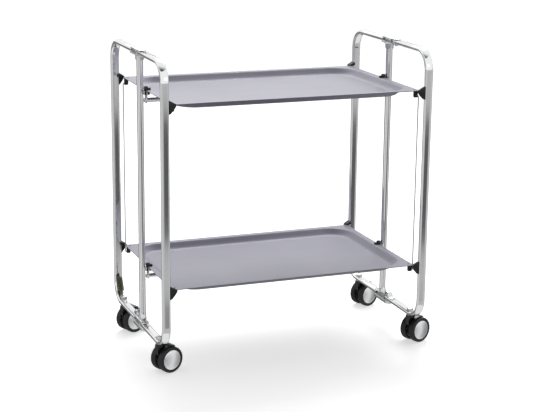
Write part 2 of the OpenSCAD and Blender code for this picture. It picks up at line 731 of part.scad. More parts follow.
module wheel(sx, sy, out) color([0.72, 0.74, 0.76]) at_wheel(sx, sy, out) {
    dome_r = (cap_r * cap_r + dome_h * dome_h) / (2 * dome_h);
    face_z = wheel_w / 2 - cap_step;
    back_z = hub_step - wheel_w / 2;
    bore_h = caster_w / 2 - axle_end_in + axle_room - wheel_off + wheel_w;
    difference() {
        union() {
            translate([0, 0, back_z]) cylinder(r = cap_r, h = face_z - back_z, $fn = round_fn);
            translate([0, 0, -wheel_w / 2]) cylinder(r = hub_inner_r, h = wheel_w / 2, $fn = round_fn);
            intersection() {
                translate([0, 0, face_z + dome_h - dome_r]) sphere(r = dome_r, $fn = 2 * round_fn);
                translate([0, 0, face_z - lap]) cylinder(r = cap_r, h = 2 * dome_h + lap, $fn = round_fn);
            }
        }
        translate([0, 0, -wheel_w]) cylinder(r = axle_d / 2 + turn_clear, h = bore_h, $fn = round_fn);
    }
}

module tyre(sx, sy, out) color([0.08, 0.08, 0.08]) at_wheel(sx, sy, out) rotate_extrude($fn = round_fn) {
    translate([cap_r, hub_step - wheel_w / 2])
        square([wheel_r - tyre_edge_r - cap_r, wheel_w - 2 * hub_step]);
    translate([wheel_r - tyre_edge_r, tyre_edge_r - wheel_w / 2])
        square([tyre_edge_r, wheel_w - 2 * tyre_edge_r]);
    for (s = [-1, 1]) translate([wheel_r - tyre_edge_r, s * (wheel_w / 2 - tyre_edge_r)])
        circle(r = tyre_edge_r, $fn = round_fn);
}

module corner_piece(piece, sx, sy) {
    if (piece == "half_frame") half_frame(sx, sy);
    if (piece == "end_plugs") end_plugs(sx, sy);
    if (piece == "tray_holders") tray_holders(sx, sy);
    if (piece == "caster_stem") caster_stem(sx, sy);
    if (piece == "caster_hood") caster_hood(sx, sy);
    if (piece == "caster_axle") caster_axle(sx, sy);
    if (piece == "inner_wheel") wheel(sx, sy, -1);
    if (piece == "inner_tyre") tyre(sx, sy, -1);
    if (piece == "outer_wheel") wheel(sx, sy, 1);
    if (piece == "outer_tyre") tyre(sx, sy, 1);
}

module placed() translate([row_x, 0, 0]) children();

placed() post(-1);  // left_post
placed() post(1);  // right_post
placed() top_bracket(-1);  // left_top_bracket
placed() top_bracket(1);  // right_top_bracket
placed() foot_bracket(-1);  // left_foot_bracket
placed() foot_bracket(1);  // right_foot_bracket
placed() pivot_pins();
placed() tray(upper_rim_z);  // upper_tray
placed() cross_bar(upper_rim_z);  // upper_cross_bar
placed() pivot_clips(upper_rim_z);  // upper_pivot_clips
placed() rod_clips(upper_rim_z, turn_clear);  // upper_rod_clips
placed() tray(lower_rim_z);  // lower_tray
placed() cross_bar(lower_rim_z);  // lower_cross_bar
placed() pivot_clips(lower_rim_z);  // lower_pivot_clips
placed() rod_clips(lower_rim_z, loose_clear);  // lower_rod_clips
placed() link_rod(-1, 1);  // rear_left_link_rod
placed() link_rod(1, -1);  // front_right_link_rod
placed() latch_strip();
placed() latch_spring();
for (c = CORNERS) for (p = CORNER_PIECES)
    placed() corner_piece(p, side_x(c), side_y(c));
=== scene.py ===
import math

import bmesh
import bpy
from mathutils import Matrix, Vector


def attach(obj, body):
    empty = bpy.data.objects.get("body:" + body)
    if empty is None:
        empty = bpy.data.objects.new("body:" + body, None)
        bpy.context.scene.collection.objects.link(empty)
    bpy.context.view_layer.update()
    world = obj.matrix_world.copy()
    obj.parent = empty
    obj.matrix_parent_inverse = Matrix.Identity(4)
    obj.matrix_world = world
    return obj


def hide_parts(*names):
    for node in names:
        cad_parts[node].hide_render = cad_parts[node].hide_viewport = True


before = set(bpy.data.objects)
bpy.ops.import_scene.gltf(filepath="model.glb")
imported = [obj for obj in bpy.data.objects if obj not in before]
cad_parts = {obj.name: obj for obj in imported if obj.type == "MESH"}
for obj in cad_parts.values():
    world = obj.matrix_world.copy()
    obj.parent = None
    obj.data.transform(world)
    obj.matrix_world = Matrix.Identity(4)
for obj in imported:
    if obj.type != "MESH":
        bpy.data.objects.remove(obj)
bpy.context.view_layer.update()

# The cart's sizes in millimetres. Every piece is shaped in them, with the middle of the trays at x = 0,
# and is brought to its place in metres at the end.
END_X, LEG_Y, PIN_Y, STEM_Y = 313.0, 201.0, 30.0, 148.0
ARM = LEG_Y - PIN_Y
RIMS = {"upper": 621.0, "lower": 207.0}
TRAY_X, TRAY_Y = 296.0, 195.0
WALL = 1.5

# The flat-oval tube: the heights of its bars' middles, its bends, and half its width and height
LOW_Z, HIGH_Z = 75.0, 710.0
FOOT_BEND, TOP_BEND = 46.0, 45.0
TUBE_WIDE, TUBE_HIGH = 10.0, 5.0
BAR_TOP = LOW_Z + TUBE_HIGH

# The posts, and the heights of the brackets' leaves under and over the bars
POST_IN, POST_R, POST_FOOT, POST_TOP = 4.0, 7.5, 82.5, 702.6
FOOT_UNDER, FOOT_OVER = (61.7, 69.7), (80.3, 82.3)
TOP_UNDER, TOP_OVER = (702.7, 704.7), (715.3, 717.3)

# How far the tray pins, the cross bars and the ends of the link rods lie below a tray's rim
PIN_DROP, BAR_DROP, ROD_DROP = 5.0, 23.0, 14.0
ROD_X, ROD_Y = 298.0, 182.5
SADDLE_X = 150.0
STRIP_Z = 82.6

# The casters, all turned the same way
TRAIL = 20.0
CASTER_TURN = math.radians(20)
WHEEL_R, WHEEL_W, WHEEL_OFF = 30.5, 15.5, 13.75

SIDES = {"front_left": (-1, -1), "front_right": (1, -1), "rear_left": (-1, 1), "rear_right": (1, 1)}
TO_CART = Matrix.Scale(0.001, 4) @ Matrix.Translation((-TRAIL * math.cos(CASTER_TURN), 0, 0))
FACING = {
    "XY": Matrix.Identity(4),
    "XZ": Matrix.Rotation(math.radians(90), 4, "X"),
    "YZ": Matrix(((0, 0, 1, 0), (1, 0, 0, 0), (0, 1, 0, 0), (0, 0, 0, 1))),
}


# The work bench

def put_down():
    """Leaves edit mode and selects nothing."""
    if bpy.context.object is not None and bpy.context.object.mode != "OBJECT":
        bpy.ops.object.mode_set(mode="OBJECT")
    bpy.ops.object.select_all(action="DESELECT")


def take_up(*pieces):
    """Selects these pieces only, the first as the active one."""
    put_down()
    for piece in pieces:
        piece.select_set(True)
    bpy.context.view_layer.objects.active = pieces[0]


def pick(test):
    """Selects the points of the piece in hand that pass the test."""
    bpy.ops.mesh.select_mode(type="VERT")
    bpy.ops.mesh.select_all(action="DESELECT")
    mesh = bmesh.from_edit_mesh(bpy.context.object.data)
    for point in mesh.verts:
        if test(point.co):
            point.select_set(True)
    bmesh.update_edit_mesh(bpy.context.object.data)


def close_up():
    """Merges doubled points of the piece in hand and turns its faces outwards."""
    bpy.ops.mesh.select_all(action="SELECT")
    bpy.ops.mesh.remove_doubles(threshold=0.001)
    bpy.ops.mesh.normals_make_consistent(inside=False)
    put_down()


def ease(piece, width, segments=2, above=35.0):
    """Rounds the piece's edges that are sharper than an angle in degrees."""
    take_up(piece)
    bevel = piece.modifiers.new("eased edges", "BEVEL")
    bevel.width = width
    bevel.segments = segments
    bevel.limit_method = "ANGLE"
    bevel.angle_limit = math.radians(above)
    bpy.ops.object.modifier_apply(modifier=bevel.name)
    return piece


def thicken(piece, thickness):
    """Gives a sheet its thickness, inwards from where it lies."""
    take_up(piece)
    wall = piece.modifiers.new("wall", "SOLIDIFY")
    wall.thickness = thickness
    wall.offset = -1.0
    wall.use_even_offset = True
    bpy.ops.object.modifier_apply(modifier=wall.name)
    return piece


def plate(outline, low, high, facing="XY", edge=0.0, segments=2):
    """A plate cut to an outline, from low to high across it, with eased edges."""
    put_down()
    bpy.ops.mesh.primitive_circle_add(vertices=len(outline), fill_type="NGON")
    piece = bpy.context.object
    for corner, place in zip(piece.data.vertices, outline):
        corner.co = (place[0], place[1], low)
    bpy.ops.object.mode_set(mode="EDIT")
    bpy.ops.mesh.select_all(action="SELECT")
    bpy.ops.mesh.extrude_region_move(TRANSFORM_OT_translate={"value": (0, 0, high - low)})
    close_up()
    piece.data.transform(FACING[facing])
    return ease(piece, edge, segments) if edge else piece


def turned(profile, steps, axis="Z"):
    """A shape turned on a lathe about Z or X from a chain of (radius, height) points."""
    put_down()
    bpy.ops.mesh.primitive_plane_add(size=1)
    piece = bpy.context.object
    bpy.ops.object.mode_set(mode="EDIT")
    bpy.ops.mesh.select_all(action="SELECT")
    bpy.ops.mesh.merge(type="CENTER")
    bpy.ops.mesh.select_mode(type="VERT")
    bpy.ops.mesh.select_all(action="SELECT")
    bpy.ops.transform.translate(value=(profile[0][0], 0, profile[0][1]))
    for here, there in zip(profile, profile[1:]):
        step = (there[0] - here[0], 0, there[1] - here[1])
        bpy.ops.mesh.extrude_vertices_move(TRANSFORM_OT_translate={"value": step})
    bpy.ops.mesh.select_all(action="SELECT")
    bpy.ops.mesh.spin(steps=steps, angle=2 * math.pi, center=(0, 0, 0), axis=(0, 0, 1))
    close_up()
    piece.data.transform(FACING[{"Z": "XY", "X": "YZ"}[axis]])
    return piece


def wire(path, radius, around):
    """A round wire along a path."""
    curve = bpy.data.curves.new("wire", "CURVE")
    curve.dimensions = "3D"
    run = curve.splines.new("POLY")
    run.points.add(len(path) - 1)
    for point, place in zip(run.points, path):
        point.co = (*place, 1)
    curve.bevel_depth = radius
    curve.bevel_resolution = around
    curve.use_fill_caps = True
    piece = bpy.data.objects.new("wire", curve)
    bpy.context.scene.collection.objects.link(piece)
    take_up(piece)
    bpy.ops.object.convert(target="MESH")
    return bpy.context.object


def joined(*pieces):
    """One piece of several."""
    take_up(*pieces)
    bpy.ops.object.join()
    return pieces[0]


def moved(piece, *shift):
    """The piece's shape shifted."""
    piece.data.transform(Matrix.Translation(shift))
    return piece


def copied(piece, placing):
    """A copy with its own mesh, put in its place."""
    twin = piece.copy()
    twin.data = piece.data.copy()
    bpy.context.scene.collection.objects.link(twin)
    twin.data.transform(placing)
    if placing.determinant() < 0:
        twin.data.flip_normals()
    return twin


def cleared(*pieces):
    """Takes the patterns away once they are copied."""
    for piece in pieces:
        bpy.data.objects.remove(piece)


def coated(piece, finish):
    """Gives a piece its finish alone."""
    piece.data.materials.clear()
    piece.data.materials.append(finish.material)


def fitted(piece, name, body, finish, *cad_nodes, smooth=32.0):
    """Brings a shaped piece to the cart, gives it its finish and lets it ride its body."""
    piece.name = name
    piece.data.name = name
    piece.data.transform(TO_CART)
    take_up(piece)
    bpy.ops.object.shade_smooth_by_angle(angle=math.radians(smooth))
    coated(piece, finish)
    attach(piece, body)
    if cad_nodes:
        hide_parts(*cad_nodes)


def at_corner(corner):
    """From a corner's own frame, with the fold pin at the origin, Y to the leg and X in to the trays."""
    along, across = SIDES[corner]
    turn = Matrix.Diagonal((-along, across, 1, 1))
    return Matrix.Translation((along * END_X, across * PIN_Y, 0)) @ turn


def at_end(along):
    """From an end's own frame, with X in to the trays; the two ends are half a turn apart."""
    return Matrix.Translation((along * END_X, 0, 0)) @ Matrix.Diagonal((-along, -along, 1, 1))


def at_stem(corner):
    """From a caster's own frame, with the stem at the origin and the wheels towards X."""
    along, across = SIDES[corner]
    return Matrix.Translation((along * END_X, across * STEM_Y, 0)) @ Matrix.Rotation(CASTER_TURN, 4, "Z")


def arc(centre, radius, start, stop, steps):
    """Points on an arc, in degrees."""
    turns = [math.radians(start + (stop - start) * k / steps) for k in range(steps + 1)]
    return [(centre[0] + radius * math.cos(t), centre[1] + radius * math.sin(t)) for t in turns]


def filleted(path, radius):
    """A path with its inner corners rounded."""
    steps = 6
    points = [Vector(p) for p in path]
    smooth = [points[0]]
    for before, here, after in zip(points, points[1:], points[2:]):
        start = here + (before - here).normalized() * radius
        stop = here + (after - here).normalized() * radius
        for k in range(steps + 1):
            share = k / steps
            smooth.append((1 - share) ** 2 * start + 2 * share * (1 - share) * here + share ** 2 * stop)
    return smooth + [points[-1]]


# Finishes

class Strand:
    """A number or colour on its way through a finish."""

    def __init__(self, finish, socket):
        self.finish = finish
        self.socket = socket

    def __add__(self, other):
        return self.finish.reckoned("ADD", self, other)

    def __radd__(self, other):
        return self.finish.reckoned("ADD", other, self)

    def __sub__(self, other):
        return self.finish.reckoned("SUBTRACT", self, other)

    def __rsub__(self, other):
        return self.finish.reckoned("SUBTRACT", other, self)

    def __mul__(self, other):
        return self.finish.reckoned("MULTIPLY", self, other)

    def __rmul__(self, other):
        return self.finish.reckoned("MULTIPLY", other, self)


class Finish:
    """A surface finish built from nodes."""

    def __init__(self, name, slot=None, tree=None):
        self.slot = slot
        if tree is None:
            self.material = bpy.data.materials.new(name)
            self.material.use_nodes = True
            tree = self.material.node_tree
        self.tree = tree
        self.tree.nodes.clear()

    def step(self, kind, settings=None, values=(), out=0):
        """Adds a node: its settings first, then the values or links of its sockets."""
        node = self.tree.nodes.new(kind)
        for key, value in (settings or {}).items():
            setattr(node, key, value)
        pairs = values.items() if isinstance(values, dict) else enumerate(values)
        for key, value in pairs:
            if isinstance(value, Strand):
                self.tree.links.new(value.socket, node.inputs[key])
            else:
                node.inputs[key].default_value = value
        return Strand(self, node.outputs[out]) if node.outputs else None

    def reckoned(self, operation, *values):
        """The result of a sum on numbers and strands."""
        return self.step("ShaderNodeMath", {"operation": operation}, values)

    def mix(self, share, first, second):
        """A colour between two colours."""
        return self.step("ShaderNodeMix", {"data_type": "RGBA"}, {0: share, 6: first, 7: second}, out=2)

    def spots(self, scale, detail=3.0, stretch=(1, 1, 1)):
        """Cloudy noise on the piece's own coordinates; scale is in patches a metre."""
        place = self.step("ShaderNodeTexCoord", out="Object")
        place = self.step("ShaderNodeMapping", {}, {"Vector": place, "Scale": stretch})
        return self.step("ShaderNodeTexNoise", {}, {"Vector": place, "Scale": scale, "Detail": detail})

    def clipped(self, value, low, high):
        """The value spread from low..high to 0..1."""
        settings = {"interpolation_type": "SMOOTHSTEP"}
        return self.step("ShaderNodeMapRange", settings, [value, low, high, 0.0, 1.0])

    def surface(self, sockets, height=None, distance=0.0001, strength=0.3):
        """Closes the finish with its shader; height feeds a bump."""
        values = dict(sockets)
        if height is not None:
            values["Normal"] = self.step(
                "ShaderNodeBump", {}, {"Strength": strength, "Distance": distance, "Height": height})
        shader = self.step("ShaderNodeBsdfPrincipled", {}, values)
        self.step("ShaderNodeOutputMaterial", {}, {"Surface": shader})
        return self


def rgb(red, green, blue):
    """A solid colour."""
    return (red, green, blue, 1.0)


def plated(name, slot, bright, dull, rough, haze, streaks):
    """Bright plated metal: clouded shine, hairline scratches and a little tarnish."""
    finish = Finish(name, slot)
    clouds = finish.spots(28.0, 4.0)
    hairs = finish.spots(60.0, 5.0, streaks)
    tarnish = finish.clipped(finish.spots(9.0, 6.0), 0.52, 0.78)
    return finish.surface(
        {"Base Color": finish.mix(tarnish * 0.35, bright, dull), "Metallic": 1.0,
         "Roughness": rough + haze * clouds + 0.05 * tarnish},
        height=hairs, distance=0.00006, strength=0.12)


def moulded(name, slot, dark, worn, rough, grain=900.0, coat=0.0):
    """Moulded plastic: fine grain, slightly paler where it is rubbed."""
    finish = Finish(name, slot)
    rubbed = finish.clipped(finish.spots(45.0, 5.0), 0.48, 0.72)
    specks = finish.spots(grain, 2.0)
    return finish.surface(
        {"Base Color": finish.mix(rubbed * 0.6, dark, worn),
         "Roughness": rough + 0.12 * rubbed - 0.06 * specks,
         "Coat Weight": coat, "Specular IOR Level": 0.45},
        height=specks, distance=0.0001, strength=0.25)


def painted():
    """The trays' satin lavender-grey paint: a soft mottle, a fine orange-peel skin and faint wipe marks."""
    finish = Finish("tray paint", "tray")
    mottle = finish.spots(6.0, 5.0)
    skin = finish.spots(420.0, 2.0)
    wipes = finish.spots(14.0, 6.0, (0.25, 1.6, 1.0))
    shade = finish.clipped(mottle, 0.3, 0.7)
    return finish.surface(
        {"Base Color": finish.mix(shade, rgb(0.335, 0.330, 0.400), rgb(0.37, 0.364, 0.438)),
         "Metallic": 0.12, "Roughness": 0.42 + 0.10 * wipes - 0.03 * skin},
        height=skin, distance=0.00012, strength=0.22)


def rubber():
    """Tyre rubber with dust in its pores."""
    finish = Finish("tyre rubber", "tyre")
    dust = finish.clipped(finish.spots(70.0, 6.0), 0.5, 0.8)
    pores = finish.spots(1500.0, 2.0)
    return finish.surface(
        {"Base Color": finish.mix(dust * 0.5, rgb(0.012, 0.012, 0.013), rgb(0.05, 0.048, 0.046)),
         "Roughness": 0.5 + 0.25 * dust + 0.08 * pores},
        height=pores, distance=0.00012, strength=0.35)


def capped():
    """Silver-grey hub caps: a satin sheen, a little clouded, with a faint grain."""
    finish = Finish("cap silver", "cap")
    clouds = finish.spots(35.0, 4.0)
    grain = finish.spots(800.0, 3.0)
    return finish.surface(
        {"Base Color": finish.mix(clouds, rgb(0.88, 0.89, 0.90), rgb(0.94, 0.945, 0.95)),
         "Metallic": 0.85, "Roughness": 0.24 + 0.08 * clouds, "Coat Weight": 0.25},
        height=grain, distance=0.00001, strength=0.05)


def wound():
    """Darkened spring wire with an oily olive tone, rubbed bright in places."""
    finish = Finish("spring wire", "spring")
    patches = finish.clipped(finish.spots(260.0, 5.0), 0.4, 0.66)
    return finish.surface(
        {"Base Color": finish.mix(patches, rgb(0.085, 0.085, 0.05), rgb(0.24, 0.235, 0.16)),
         "Metallic": 0.85, "Roughness": 0.28 + 0.2 * patches},
        height=patches, distance=0.00008, strength=0.3)


CHROME = plated("chrome", "chrome", bright=rgb(0.84, 0.845, 0.85), dull=rgb(0.60, 0.585, 0.54),
                rough=0.045, haze=0.05, streaks=(12, 12, 0.5))
BRACKET = plated("bracket plating", "bracket", bright=rgb(0.76, 0.765, 0.77), dull=rgb(0.52, 0.50, 0.46),
                 rough=0.24, haze=0.10, streaks=(9, 1, 9))
STEEL = plated("zinc plating", "pin", bright=rgb(0.70, 0.705, 0.71), dull=rgb(0.50, 0.48, 0.42),
               rough=0.26, haze=0.12, streaks=(10, 10, 1))
ROD = plated("rod steel", "pin", bright=rgb(0.36, 0.365, 0.37), dull=rgb(0.26, 0.25, 0.22),
             rough=0.34, haze=0.12, streaks=(10, 10, 1))
BLACK = moulded("black plastic", "black_plastic", dark=rgb(0.007, 0.007, 0.008),
                worn=rgb(0.020, 0.020, 0.021), rough=0.42)
HOOD = moulded("hood plastic", "black_plastic", dark=rgb(0.009, 0.009, 0.010),
               worn=rgb(0.022, 0.022, 0.023), rough=0.30, grain=700.0, coat=0.2)
PAINT = painted()
RUBBER = rubber()
CAP = capped()
SPRING = wound()


# The half frames

def flat_oval_ring():
    """The open ring that the tube grows from, at its lower bar's end."""
    put_down()
    bpy.ops.mesh.primitive_circle_add(
        vertices=32, radius=TUBE_HIGH, location=(0, -TUBE_WIDE, LOW_Z), rotation=(math.radians(90), 0, 0))
    ring = bpy.context.object
    bpy.ops.object.transform_apply(location=True, rotation=True, scale=True)
    bpy.ops.object.mode_set(mode="EDIT")
    for side in (-1, 1):
        pick(lambda point: side * point.x > 0.01)
        bpy.ops.transform.translate(value=((TUBE_WIDE - TUBE_HIGH) * side, 0, 0))
    bpy.ops.mesh.select_all(action="SELECT")
    return ring


def straight(direction, *steps):
    """Draws the ring in hand out in a straight line, step by step."""
    for step in steps:
        bpy.ops.mesh.extrude_edges_move(TRANSFORM_OT_translate={"value": direction * step})


def quarter_bend(y, z):
    """Draws the ring in hand round a quarter turn."""
    bpy.ops.mesh.spin(steps=14, angle=math.radians(90), axis=(-1, 0, 0), center=(0, y, z))


def tube_run():
    """The bent flat-oval tube: bar, bend, leg, bend, bar, with its ends rounded about the fold pins.
    A short step beside each bend keeps the shine of the straight lengths straight."""
    tube = flat_oval_ring()
    short = 2.0
    foot_bar = ARM - FOOT_BEND + TUBE_WIDE
    leg = HIGH_Z - TOP_BEND - LOW_Z - FOOT_BEND
    top_bar = ARM - TOP_BEND + TUBE_WIDE
    straight(Vector((0, 1, 0)), foot_bar - short, short)
    quarter_bend(ARM - FOOT_BEND, LOW_Z + FOOT_BEND)
    straight(Vector((0, 0, 1)), short, leg - 2 * short, short)
    quarter_bend(ARM - TOP_BEND, HIGH_Z - TOP_BEND)
    straight(Vector((0, -1, 0)), short, top_bar - short)
    close_up()
    for point in tube.data.vertices:
        if point.co.y < 0.1 - TUBE_WIDE:
            point.co.y = -math.sqrt(max(0.0, TUBE_WIDE ** 2 - point.co.x ** 2))
    thicken(tube, WALL)
    return ease(tube, 0.35, above=50)


def rolled_tab():
    """The tab that stands on the bar and rolls over the head of the fold pin."""
    thick, roll_r, back = 1.8, 10.5, 10.6
    middle = (back + thick - roll_r, 82.6)
    inner = arc(middle, roll_r - thick, 180, 0, 18)
    outer = arc(middle, roll_r, 0, 180, 18)
    foot = [(back, BAR_TOP), (25.6, BAR_TOP), (25.6, BAR_TOP + thick), (14.4, BAR_TOP + thick)]
    return plate(inner + foot + outer, -4.5, 8.5, "YZ", 0.5)


tube_pattern = tube_run()
tab_pattern = rolled_tab()
for corner, (along, across) in SIDES.items():
    body = corner + "_frame_body"
    tube = copied(tube_pattern, at_corner(corner))
    fitted(tube, corner + "_tube", body, CHROME, corner + "_half_frame")
    if along * across < 0:
        tab = copied(tab_pattern, at_corner(corner))
        fitted(tab, corner + "_rolled_tab", body, BRACKET)
cleared(tube_pattern, tab_pattern)


# The black holders on the legs

def holder(lip_above):
    """A wedge beside the leg with a lip over or a ledge under the tray's rim; z = 0 is the rim. The lip
    reaches in over the rim's edge, and the rear wedges are shorter than the front ones."""
    out_y, deep = ARM + 4, 7
    reach, length = (3, 0.82) if lip_above else (1.2, 0.95)
    lip_y = TRAY_Y - PIN_Y - reach
    nose = [(12.6, 9.2), (20.5, 5.2), (26.6, 1.9), (27.2, 0.4), (27.2, -1.9), (26.6, -3.4), (20.2, -12.0),
            (13.6, -19.2)]
    outline = [(5.5, 9.2), (8.2, 10.2)] + [(x * length, z) for x, z in nose] + [(9.0, -20.2), (5.5, -19.2)]
    wedge = plate(outline, -out_y, deep - out_y, "XZ", 1.1, 3)
    if lip_above:
        lip_outline = [(5.5, 0.35), (21.8, 0.35), (21.2, 1.6), (16.2, 4.6), (10.4, 7.6), (5.5, 8.0)]
    else:
        lip_outline = [(5.5, -2.0), (25.4, -2.0), (24.8, -3.2), (18.8, -11.4), (12.2, -18.4), (5.5, -18.4)]
    lip = plate(lip_outline, 1 - out_y, -lip_y, "XZ", 0.7)
    rib = plate([(10.4, -4.2), (17.6, -4.2), (11.2, -13.6)], -out_y - 0.45, 1 - out_y, "XZ", 0.3, 1)
    return joined(wedge, lip, rib)


for across, lip_above in ((1, True), (-1, False)):
    pattern = holder(lip_above)
    for corner, sides in SIDES.items():
        if sides[1] == across:
            for tray, rim in RIMS.items():
                piece = copied(pattern, at_corner(corner) @ Matrix.Translation((0, 0, rim)))
                fitted(piece, f"{corner}_{tray}_holder", corner + "_frame_body", BLACK,
                       corner + "_tray_holders")
    cleared(pattern)


# Posts, brackets and pins

def yoke(under, over, under_edge, under_segments, sleeve):
    """Two leaves about the bars' ends, the web between them and a turned sleeve about the post."""
    leaf = arc((0, PIN_Y), TUBE_WIDE, 0, 180, 16) + arc((0, -PIN_Y), TUBE_WIDE, 180, 360, 16)
    web_x, web_y, lap = 9.4, 17, 0.3
    web = [(-web_x, -web_y), (web_x, -web_y), (web_x, web_y), (-web_x, web_y)]
    return joined(plate(leaf, *over, edge=0.6),
                  plate(leaf, *under, edge=under_edge, segments=under_segments),
                  plate(web, under[1] - lap, over[0] + lap, edge=0.8),
                  moved(turned(sleeve, 40), POST_IN, 0, 0))


def top_bracket():
    """The bracket at the post's top, with a cup about the post under its lower leaf."""
    cup = [(0, 690.2), (7.6, 690.2), (9.1, 690.9), (9.9, 692.4), (9.9, 699.5), (10.6, 701.8), (12.0, 702.9),
           (0, 702.9)]
    return yoke(TOP_UNDER, TOP_OVER, 0.6, 2, cup)


def foot_bracket():
    """The bracket at the post's foot, with a thick lower plate and a collar on its upper leaf."""
    collar = [(7.4, 82.2), (10.2, 82.2), (9.2, 83.0), (8.6, 84.4), (8.5, 92.6), (8.1, 93.3), (7.4, 93.3),
              (7.4, 82.2)]
    return yoke(FOOT_UNDER, FOOT_OVER, 1.4, 3, collar)


def fold_pin(low, high):
    """A headed pin with a peened tail."""
    return turned([(0, low), (2.2, low), (2.8, low + 0.5), (3.0, low + 1.2), (3.0, high), (4.5, high),
                   (4.5, high + 0.5), (4.1, high + 1.1), (3.2, high + 1.45), (1.8, high + 1.6),
                   (0, high + 1.6)], 32)


def tray_pin():
    """A pin through the post's inner face with a washer before the clip; along X from the post."""
    return turned([(0, 0), (3.0, 0), (3.0, 1.4), (4.6, 1.4), (5.0, 1.8), (5.0, 3.1), (4.6, 3.5), (3.0, 3.5),
                   (3.0, 15.2), (2.4, 15.8), (0, 15.8)], 32, "X")


post_pattern = thicken(turned([(POST_R, POST_FOOT), (POST_R, POST_TOP)], 56), WALL)
top_pattern, foot_pattern = top_bracket(), foot_bracket()
high_pin, low_pin = fold_pin(TOP_UNDER[0] - 3, TOP_OVER[1]), fold_pin(FOOT_UNDER[0], FOOT_OVER[1])
side_pin = tray_pin()
pin_seat = POST_IN + POST_R - 1.3
for end, along in (("left", -1), ("right", 1)):
    place = at_end(along)
    post_place = place @ Matrix.Translation((POST_IN, 0, 0))
    fitted(copied(post_pattern, post_place), end + "_centre_post", "root", CHROME, end + "_post")
    fitted(copied(top_pattern, place), end + "_top_yoke", "root", BRACKET, end + "_top_bracket")
    fitted(copied(foot_pattern, place), end + "_foot_yoke", "root", BRACKET, end + "_foot_bracket")
    for side, across in (("rear", -along), ("front", along)):
        spot = place @ Matrix.Translation((0, across * PIN_Y, 0))
        fitted(copied(high_pin, spot), f"{side}_{end}_top_pin", "root", STEEL, "pivot_pins")
        fitted(copied(low_pin, spot), f"{side}_{end}_foot_pin", "root", STEEL, "pivot_pins")
    for tray, rim in RIMS.items():
        spot = place @ Matrix.Translation((pin_seat, 0, rim - PIN_DROP))
        fitted(copied(side_pin, spot), f"{end}_{tray}_tray_pin", "root", STEEL, "pivot_pins")
cleared(post_pattern, top_pattern, foot_pattern, high_pin, low_pin, side_pin)


# Trays

def tray_sheet():
    """The tray: a plane with rounded corners, inset in steps down to the floor, with its flat rim drawn
    out of the mouth."""
    border, mouth_bend, edge_bend = 11, 66, 8
    put_down()
    bpy.ops.mesh.primitive_plane_add(size=1)
    sheet = bpy.context.object
    sheet.scale = (2 * (TRAY_X - border), 2 * (TRAY_Y - border), 1)
    bpy.ops.object.transform_apply(location=True, rotation=True, scale=True)
    bpy.ops.object.mode_set(mode="EDIT")
    bpy.ops.mesh.select_all(action="SELECT")
    bpy.ops.mesh.bevel(affect="VERTICES", offset=mouth_bend, segments=15, profile=0.5)
    wall = [(0, 0), (1.4, -0.15), (2.8, -0.7), (4.4, -1.8), (7.0, -4.1), (12.0, -8.7), (16.4, -12.2),
            (19.2, -13.8), (22.4, -14.7), (26.0, -15.0)]
    bpy.ops.mesh.select_mode(type="FACE")
    bpy.ops.mesh.select_all(action="SELECT")
    for here, there in zip(wall, wall[1:]):
        bpy.ops.mesh.inset(thickness=there[0] - here[0], depth=there[1] - here[1], use_even_offset=True)
    bpy.ops.mesh.inset(thickness=24, depth=0)
    bpy.ops.mesh.select_mode(type="EDGE")
    bpy.ops.mesh.select_all(action="DESELECT")
    bpy.ops.mesh.select_non_manifold(extend=False)
    bpy.ops.mesh.extrude_edges_move(TRANSFORM_OT_translate={"value": (0, 0, 0)})
    mesh = bmesh.from_edit_mesh(sheet.data)
    for point in [v for v in mesh.verts if v.select]:
        side = Vector((math.copysign(1, point.co.x), math.copysign(1, point.co.y)))
        inner = Vector((side.x * (TRAY_X - border - mouth_bend), side.y * (TRAY_Y - border - mouth_bend)))
        outer = Vector((side.x * (TRAY_X - edge_bend), side.y * (TRAY_Y - edge_bend)))
        point.co.x, point.co.y = outer + (point.co.xy - inner) * edge_bend / mouth_bend
    bmesh.update_edit_mesh(sheet.data)
    close_up()
    if sum(face.normal.z for face in sheet.data.polygons) < 0:
        sheet.data.flip_normals()
    thicken(sheet, WALL)
    return ease(sheet, 0.5, above=60)


tray_pattern = tray_sheet()
for tray, rim in RIMS.items():
    sheet = copied(tray_pattern, Matrix.Translation((0, 0, rim)))
    fitted(sheet, tray + "_tray_sheet", tray + "_tray_body", PAINT, tray + "_tray", smooth=25.0)
cleared(tray_pattern)


# What hangs on the trays

def cross_tube():
    """The round bar under a tray, through its end plates to just short of the posts."""
    reach, chamfer = 299.6, 0.6
    return turned([(3.6, -reach), (4.6, -reach), (5.0, chamfer - reach), (5.0, reach - chamfer), (4.6, reach),
                   (3.6, reach), (3.6, -reach)], 32, "X")


def saddle():
    """A folded saddle between the tray's floor and the bar."""
    outline = [(-9.5, -16.5), (9.5, -16.5), (9.5, -17.9), (7.0, -18.2), (6.4, -20.4), (6.0, -24.8),
               (4.4, -27.4), (1.6, -28.6), (-1.6, -28.6), (-4.4, -27.4), (-6.0, -24.8), (-6.4, -20.4),
               (-7.0, -18.2), (-9.5, -17.9)]
    return plate(outline, -12, 12, "YZ", 0.5)


def end_plate():
    """The plate that carries the bar's end, hung on the pivot clip."""
    outline = (arc((0, -BAR_DROP), 7.3, 180, 360, 14) + [(8.6, -14.5), (9.5, -8.0), (9.5, -1.6), (6.6, -1.6)]
               + arc((0, -PIN_DROP), 6.6, 0, -180, 14)
               + [(-6.6, -1.6), (-9.5, -1.6), (-9.5, -8.0), (-8.6, -14.5)])
    return plate(outline, TRAY_X - 2, TRAY_X, "YZ", 0.4)


